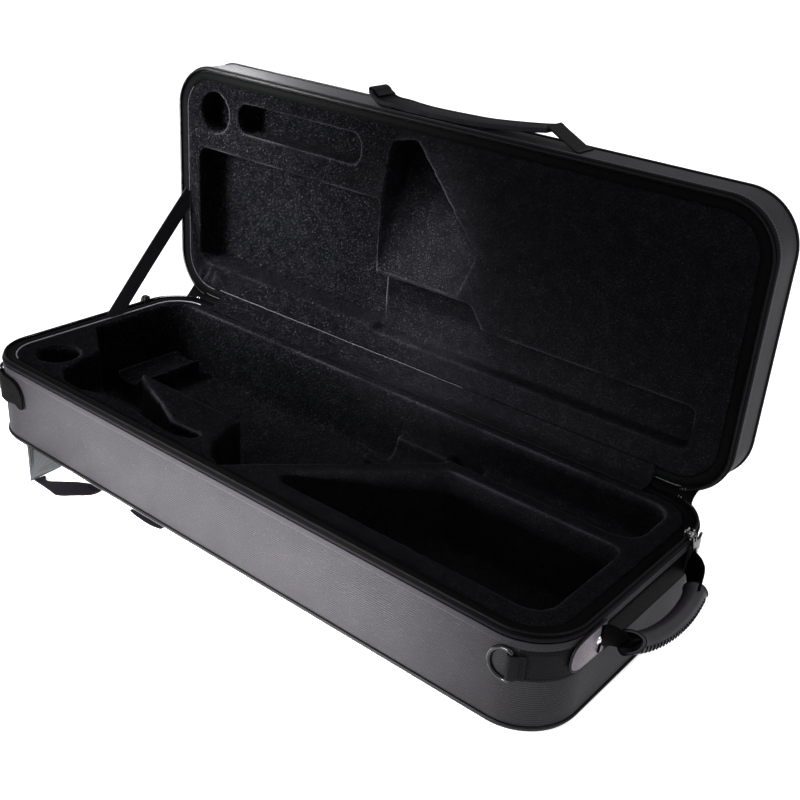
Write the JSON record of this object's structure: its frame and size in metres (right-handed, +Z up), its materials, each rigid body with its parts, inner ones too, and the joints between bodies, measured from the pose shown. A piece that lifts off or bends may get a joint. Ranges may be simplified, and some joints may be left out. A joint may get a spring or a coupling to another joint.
{
  "type": "tenor saxophone case",
  "caption": "Rectangular soft-sided instrument case standing open, with a zip, a moulded plush interior, a padded end grip, a carry handle and rings for a shoulder strap.",
  "frame": {"origin": "middle of the underside of the base", "axes": "+X along the case towards the end with the padded grip, +Y to the hinge at the back, +Z up"},
  "size_m": [0.915, 0.4353, 0.46],
  "materials": {
    "ribbed_nylon": "fine ribbed weave, matt",
    "black_webbing": "woven nylon webbing, satin",
    "black_plush": "short pile velvet",
    "foam_board": "laminated foam board, matt",
    "grained_vinyl": "fine grain, semi matt",
    "nickel": "polished",
    "black_metal": "gloss black",
    "strap_nylon": "coated weave, satin"
  },
  "bodies": {
    "base": {"base_bottom_cover": "ribbed_nylon", "base_wall_cover": "ribbed_nylon", "base_piping": "black_webbing", "base_shell": "foam_board", "base_rim_band": "black_webbing", "base_zip_tape": "black_webbing", "base_zip_chain": "black_webbing", "base_floor_pad": "black_plush", "accessory_tray": "black_plush", "tube_cradle": "black_plush", "body_cradle": "black_plush", "neck_block": "black_plush", "tube_rest": "black_plush", "bow_rest": "black_plush", "end_band": "black_webbing", "grip_patch_front": "grained_vinyl", "grip_patch_back": "grained_vinyl", "grip_rivet_front": "nickel", "grip_rivet_back": "nickel", "ring_loop_right": "black_webbing", "ring_loop_left": "black_webbing", "ring_patch_left": "grained_vinyl", "strap_tab_front": "strap_nylon", "strap_tab_back": "strap_nylon", "strap_web_front": "black_webbing", "strap_web_back": "black_webbing", "strap_bend_front": "black_webbing", "strap_bend_back": "black_webbing", "stay_anchor_base": "black_webbing", "hinge_gusset": "black_webbing", "hinge_lining": "black_plush", "stay_strap": "black_webbing"},
    "lid": {"lid_top_cover": "ribbed_nylon", "lid_wall_cover": "ribbed_nylon", "lid_piping": "black_webbing", "lid_shell": "foam_board", "lid_rim_band": "black_webbing", "lid_zip_tape": "black_webbing", "lid_zip_chain": "black_webbing", "lid_back_pad": "black_plush", "lid_foam_left": "black_plush", "lid_foam_right": "black_plush", "lid_long_pad": "black_plush", "lid_bell_ramp": "black_plush", "stay_anchor_lid": "black_webbing", "carry_foot_left": "black_webbing", "carry_foot_right": "black_webbing", "carry_web_left": "black_webbing", "carry_web_right": "black_webbing"},
    "end_handle": {"end_grip_pad": "grained_vinyl", "end_grip_strap": "black_webbing"},
    "top_handle": {"carry_band": "grained_vinyl"},
    "right_ring": {"d_ring_right": "black_metal"},
    "left_ring": {"d_ring_left": "black_metal"},
    "right_slider": {"zip_slider_right": "nickel"},
    "right_pull": {"zip_pull_right": "nickel"},
    "left_slider": {"zip_slider_left": "nickel"},
    "left_pull": {"zip_pull_left": "nickel"}
  },
  "joints": [
    {"name": "lid_hinge", "type": "hinge", "parent": "base", "child": "lid", "pos_m": [0, 0.1635, 0.113], "axis": [1, 0, 0], "range_deg": [0, 90], "deforming": ["hinge_gusset", "hinge_lining", "stay_strap"]},
    {"name": "end_grip_swing", "type": "hinge", "parent": "base", "child": "end_handle", "pos_m": [0.4387, 0.0095, 0.085], "axis": [0, 1, 0], "range_deg": [-60, 34]},
    {"name": "carry_handle_pull", "type": "slide", "parent": "lid", "child": "top_handle", "axis": [0, 0, 1], "range_m": [0, 0.02], "deforming": ["carry_web_left", "carry_web_right"]},
    {"name": "right_ring_swing", "type": "hinge", "parent": "base", "child": "right_ring", "pos_m": [0.38927, -0.16463, 0.075], "axis": [0, 0, 1], "range_deg": [0, 150]},
    {"name": "left_ring_swing", "type": "hinge", "parent": "base", "child": "left_ring", "pos_m": [-0.40768, -0.15536, 0.075], "axis": [0, 0, 1], "range_deg": [0, 150]},
    {"name": "right_zip_run", "type": "slide", "parent": "base", "child": "right_slider", "axis": [0, -1, 0], "range_m": [0, 0.19]},
    {"name": "right_pull_swing", "type": "hinge", "parent": "right_slider", "child": "right_pull", "pos_m": [0.4346, 0.095, 0.113], "axis": [0, -1, 0], "range_deg": [0, 150]},
    {"name": "left_zip_run", "type": "slide", "parent": "base", "child": "left_slider", "axis": [0, -1, 0], "range_m": [0, 0.19]},
    {"name": "left_pull_swing", "type": "hinge", "parent": "left_slider", "child": "left_pull", "pos_m": [-0.4346, 0.095, 0.113], "axis": [0, 1, 0], "range_deg": [0, 150]}
  ]
}
